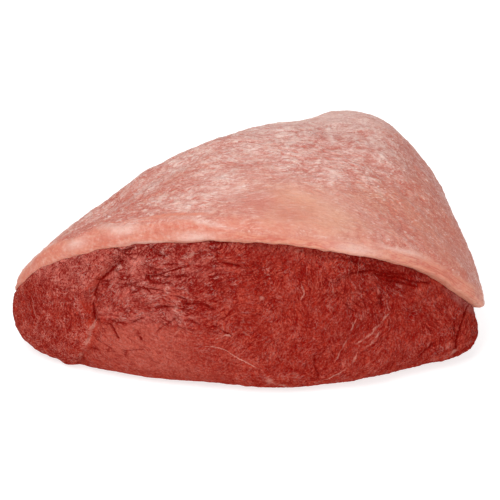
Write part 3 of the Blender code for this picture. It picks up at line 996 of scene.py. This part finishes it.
def lean_finish():
    made = Finish("raw_lean")
    painted_hollow_shade, patch, cavity, opening = made.masks("painted_hollow_shade", "patch", "cavity", "opening")
    painted_sheen, lobe, along = *made.masks("painted_sheen", "lobe"), made.mask("grain", "Vector")
    grit = made.noise(0.0008, detail=1, rough=0.8)
    side = made.mask("crack_side") + (grit - 0.5) * 3
    crack = made.mask("crack") * (1 - side ** 2).larger(0)
    side = made.mask("thread_side") + (grit - 0.5) * 3
    thread = made.mask("thread") * (1 - side ** 2).larger(0)
    fibre = thin_lines(made.drawn_noise(0.0011, along, 0.0015), 5)
    split = thin_lines(made.drawn_noise(0.0013, along, 0.0022, axis=(0.7, 0.2, 0.6)), 6)
    wavy = made.drawn_noise(0.0022, along, 0.01, axis=(0.1, 0.6, 0.4))
    fissure = thin_lines(wavy, 7) * made.noise(0.007).between(0.36, 0.5)
    curl = thin_lines(made.drawn_noise(0.0013, along, 0.0007, axis=(0.2, 0.5, 0.9), samples=4), 6)
    gathered = made.noise(0.0042, detail=3).between(0.42, 0.62)
    loose = 0.65 + 0.35 * opening
    bright = fibre * (0.3 + gathered) * loose
    dark = split * (0.4 + made.noise(0.0034).between(0.42, 0.62))
    dark = dark * (1 + 0.4 * lobe - 0.5 * patch)
    cloud = made.noise(0.012, detail=3)
    blood = made.noise(0.0045, detail=3)
    bloody = blood.between(0.48, 0.62) * (0.7 - 0.3 * opening) * (1 - patch) * (1 - painted_sheen)
    gritty = 3.3 - 1.5 * opening + 2.6 * lobe - 1.4 * patch
    glint = (bright + cavity * 0.6 + curl * 0.3).between(1.05, 1.65) * (0.3 + 0.7 * painted_sheen) * (1 - patch)
    color = made.painted(
        FLESH,
        (cloud.between(0.35, 0.65) * 0.4, CORAL),
        (patch * 0.75, ROSE_FLESH),
        (made.mask("dark") * 0.6, BLOOD_RED),
        (bloody, BLOOD_RED),
        # Painted light under the fat's lip
        (made.mask("painted_light_under_fat") * 0.5, ROSE_FLESH),
        # Painted sheen, with pale lines and grit stronger in it
        (painted_sheen * 0.75, PAINTED_SHEEN_PINK),
        # Painted shade in the dips of the relief, painted sheen on its rises
        ((0.5 - cavity).larger(0) * (1.6 - 0.6 * painted_sheen), DEEP_RED),
        ((cavity - 0.5).larger(0) * (0.2 + painted_sheen), MAUVE),
        ((0.5 - grit).larger(0) * gritty, DEEP_RED),
        ((grit - 0.5).larger(0) * (1.8 + 0.8 * painted_sheen), MAUVE),
        (dark * loose * (1.2 - 0.3 * painted_sheen), DEEP_RED),
        (bright * 0.32, MAUVE),
        (bright * painted_sheen * 0.45, TISSUE),
        (curl * (0.3 + gathered) * (1.1 * lobe + 0.5 * painted_sheen), MAUVE),
        (made.mask("warm") * 0.7, BRIGHT_RED),
        (made.mask("silver") * 0.7, SILVER),
        (fissure * (0.25 + opening) * (1 - patch), DEEP_RED),
        # Painted shade in the gaps and pores
        (painted_hollow_shade * 0.55, DEEP_RED),
        # Painted shade in the cracks
        (crack, CRACK_RED),
        # Spots and threads of tissue, with pale flecks that are partly painted glints
        (made.mask("spot").larger(thread), TISSUE),
        (glint * 0.6, GLINT),
    )
    tiny = made.bump((fibre - split * 0.7) * loose - fissure * opening + grit * 1.2, 0.00024)
    wetness = (bright + cavity * 0.8).between(0.75, 1.35) * (0.3 + 0.6 * painted_sheen) * (1 - painted_hollow_shade)
    return made.moist(
        wetness, dull=(0.6, 0.0), wet=(0.22, 0.7), Base_Color=color, Normal=tiny,
        Subsurface_Weight=0.06, Subsurface_Radius=(0.8, 0.2, 0.12), Subsurface_Scale=0.002,
    )


def fat_finish():
    made = Finish("raw_fat")
    fold, busy, creases, wrinkled = made.masks("fold", "busy", "creases", "wrinkled")
    left, height, pale, along = *made.masks("left", "height", "pale"), made.mask("grain", "Vector")
    streak = made.drawn_noise(0.0008, along, 0.0026)
    scratch = made.drawn_noise(0.0009, along, 0.0024, axis=(0.7, 0.2, 0.6))
    cloud = made.noise(0.022, detail=3)
    grit = made.noise(0.001, rough=0.7)
    wrinkle = abs(made.mask("wrinkle") + (grit - 0.5) * 2)
    valley = (1 - wrinkle * 3).larger(0) * wrinkled
    # Painted highlight on the ridges of the wrinkles
    ridge_highlight = wrinkle.between(0.4, 1.2) * wrinkled
    # Pale streaks of the fat, with painted glints on them
    white = streak.between(0.5, 0.78) * (0.4 + made.noise(0.005).between(0.38, 0.62))
    red = thin_lines(scratch, 5) * made.noise(0.0035).between(0.38, 0.54)
    upward = made.node("ShaderNodeCombineXYZ", None, {"Z": height * 6})
    layers = made.noise(1.0, detail=3, place=made.vector_maths("ADD", made.place((90, 90, 0)), upward))
    speckle = made.noise(0.0018, rough=0.7)
    right = 1 - left
    side = made.painted(
        FAT_SALMON,
        (layers.between(0.35, 0.65) * 0.5, FAT_CREAM),
        (left * 0.3, FAT_ROSE),
        (thin_lines(layers + 0.08, 14) * right * 0.6, FAT_CREAM),
        (thin_lines(layers, 14) * right, FAT_ROSE),
        # Paler at the bottom of the band on the right: partly the pale strip of the fat, partly painted
        # light against the shade under its lip
        ((1 - height.between(0.0, 0.35)) * right * 0.5, FAT_CREAM),
        ((speckle - 0.5).larger(0) * (1 + left), FAT_PALE),
        ((0.5 - speckle).larger(0) * (1 + 2 * left), FAT_ROSE),
        (made.mask("band_rosy") * 0.45, FAT_ROSE),
        # Pale fat and painted highlights on the band
        (made.mask("band_pale_and_highlight") * 0.8, FAT_PALE),
        ((0.5 - grit).larger(0) * 1.4, FAT_ROSE),
        ((1 - height.between(0.02, 0.12)) * 0.6, FAT_SALMON),
    )
    color = made.painted(
        FAT_PINK,
        (cloud.between(0.35, 0.7), FAT_CREAM),
        (busy * 0.5, FAT_PINK),
        (made.mask("cream") * 0.8, FAT_CREAM),
        # Pale fat with painted glare and painted light
        (pale * 0.9, FAT_PALE),
        # Painted light on the far slopes
        (made.mask("far") * 0.45, FAT_WHITE),
        (made.mask("rosy") * 0.58, FAT_ROSE),
        # Painted highlights on the ridges, and pale streaks with painted glints
        (ridge_highlight * (0.22 + 0.4 * pale), FAT_WHITE),
        (white * busy * (0.8 + 0.6 * pale), FAT_WHITE),
        ((0.5 - fold).larger(0) * busy * 0.5, FAT_ROSE),
        ((0.5 - grit).larger(0) * busy * (4.4 - 2.0 * pale), FAT_ROSE),
        (red * busy * (1 - 0.35 * pale), FAT_WINE),
        ((valley * 0.8).larger(creases * 0.45), FAT_WINE),
        (made.mask("pits") * 0.35, FAT_ROSE),
        (made.mask("behind_rim"), FAT_SALMON),
        (made.mask("band"), side),
        # Painted highlight on the band's upper edge
        (made.mask("lip_highlight") * 0.6, FAT_PALE),
    )
    tiny = made.bump((streak - scratch * 0.5) * (0.15 + 0.85 * busy) + grit * 0.6, 0.00026)
    wetness = (fold * 0.6 + streak * 0.6).between(0.3, 0.9) * (0.3 + 0.7 * busy)
    return made.moist(
        wetness, dull=(0.6, 0.25), wet=(0.28, 0.8), Base_Color=color, Normal=tiny,
        Subsurface_Weight=0.12, Subsurface_Radius=(1.0, 0.4, 0.25), Subsurface_Scale=0.003,
    )


# Pieces, floor, light and camera

def add_object(name, data):
    thing = bpy.data.objects.new(name, data)
    bpy.context.scene.collection.objects.link(thing)
    return thing


def add_piece(body, name, node, material):
    thing = add_object(name, body.mesh(name))
    thing.data.materials.append(material)
    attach(thing, "root")
    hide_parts(node)


def make_floor():
    data = bpy.data.meshes.new("floor")
    corners = [(x * FLOOR_HALF, y * FLOOR_HALF, 0) for x, y in ((-1, -1), (1, -1), (1, 1), (-1, 1))]
    data.from_pydata(corners, [], [(0, 1, 2, 3)])
    paper = Finish("white_floor")
    sheet = paper.surface(
        Base_Color=FLOOR_TONE, Roughness=0.9, Emission_Color=WHITE, Emission_Strength=FLOOR_GLOW,
    )
    data.materials.append(paper.done(sheet))
    floor = add_object("floor", data)


def look_at_meat(thing, turn, pitch, distance):
    """Sets a thing by its turn to the right from the front, pitch and distance, facing the meat."""
    turn, pitch = math.radians(turn), math.radians(pitch)
    level = math.cos(pitch)
    outward = Vector((math.sin(turn) * level, -math.cos(turn) * level, math.sin(pitch)))
    thing.location = CAMERA_AIM + distance * outward
    thing.rotation_euler = (-outward).to_track_quat("-Z", "Y").to_euler()


def light_room():
    for name, (turn, pitch, distance, size, power) in LIGHTS.items():
        data = bpy.data.lights.new(name, "AREA")
        data.shape = "SQUARE"
        data.size = size
        data.energy = power
        look_at_meat(add_object(name, data), turn, pitch, distance)
    world = bpy.data.worlds.new("white_room")
    world.use_nodes = True
    background = world.node_tree.nodes["Background"]
    background.inputs["Color"].default_value = (*WHITE, 1.0)
    background.inputs["Strength"].default_value = ROOM_GLOW
    bpy.context.scene.world = world


def place_camera():
    data = bpy.data.cameras.new("camera")
    data.lens = LENS
    data.sensor_width = SENSOR
    camera = add_object("camera", data)
    look_at_meat(camera, 0, CAMERA_PITCH, CAMERA_DISTANCE)
    bpy.context.scene.camera = camera


def main():
    cut = Sections(COLUMNS)
    lean = lean_body(cut)
    fat = fat_body(cut)
    fit_in_box([lean, fat])
    add_piece(lean, "lean_meat", "lean", lean_finish())
    add_piece(fat, "fat_layer", "fat_cap", fat_finish())
    make_floor()
    light_room()
    place_camera()
    bpy.context.scene.view_settings.view_transform = "Standard"


main()
